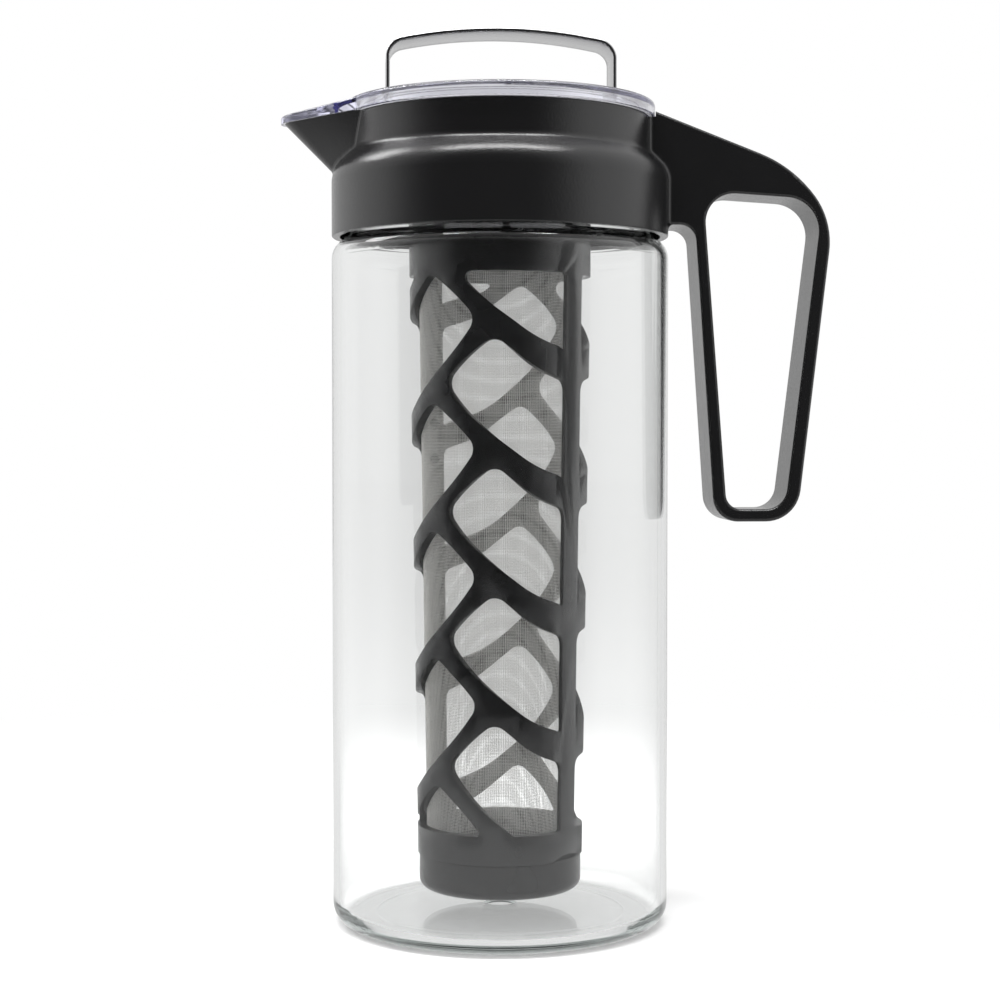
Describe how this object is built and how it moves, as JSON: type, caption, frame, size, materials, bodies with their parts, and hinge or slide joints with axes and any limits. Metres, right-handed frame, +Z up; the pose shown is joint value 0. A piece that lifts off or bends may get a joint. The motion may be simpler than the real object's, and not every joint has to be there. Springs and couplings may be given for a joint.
{
  "type": "cold brew coffee maker",
  "caption": "Cylindrical glass carafe with a clamped collar that carries the spout and a loop handle, a lattice mesh infuser with a screw cap, and a clear lid with a metal strip handle.",
  "frame": {"origin": "centre of the base on the ground", "axes": "+Z up along the carafe's axis, +X towards the handle, -X towards the spout"},
  "size_m": [0.1624, 0.1, 0.2645],
  "materials": {
    "glass": "clear, polished",
    "black_plastic": "black with a fine satin grain",
    "infuser_plastic": "black, smooth and moderately glossy",
    "nylon_mesh": "fine pale woven filter mesh",
    "silicone": "translucent, dull",
    "clear_plastic": "transparent with a faint violet edge tint",
    "chrome": "bright polished",
    "steel": "plain stainless fasteners"
  },
  "bodies": {
    "carafe": {"glass_carafe": "glass", "neck_gasket": "silicone", "clamp_ring": "black_plastic", "collar": "black_plastic"},
    "infuser": {"infuser_cage": "infuser_plastic", "infuser_mesh": "nylon_mesh", "infuser_gasket": "silicone"},
    "lid": {"lid_cover": "clear_plastic", "lid_gasket": "silicone", "lid_handle": "chrome", "handle_screws": "steel", "handle_washers": "silicone", "handle_nuts": "steel"},
    "cap_seal": {"cap_gasket": "silicone"},
    "cap": {"bottom_cap": "infuser_plastic"}
  },
  "joints": [
    {"name": "infuser_lift", "type": "slide", "parent": "carafe", "child": "infuser", "axis": [0, 0, 1], "range_m": [0, 0.245]},
    {"name": "lid_lift", "type": "slide", "parent": "infuser", "child": "lid", "axis": [0, 0, 1], "range_m": [0, 0.06]},
    {"name": "cap_drop", "type": "slide", "parent": "infuser", "child": "cap_seal", "axis": [0, 0, -1], "range_m": [0, 0.003]},
    {"name": "cap_turn", "type": "hinge", "parent": "cap_seal", "child": "cap", "pos_m": [0, 0, 0.0155], "axis": [0, 0, -1], "range_deg": [0, 270]}
  ],
  "couplings": [
    {"joint": "cap_drop", "follows": "cap_turn", "m_per_rad": 0.000636}
  ]
}
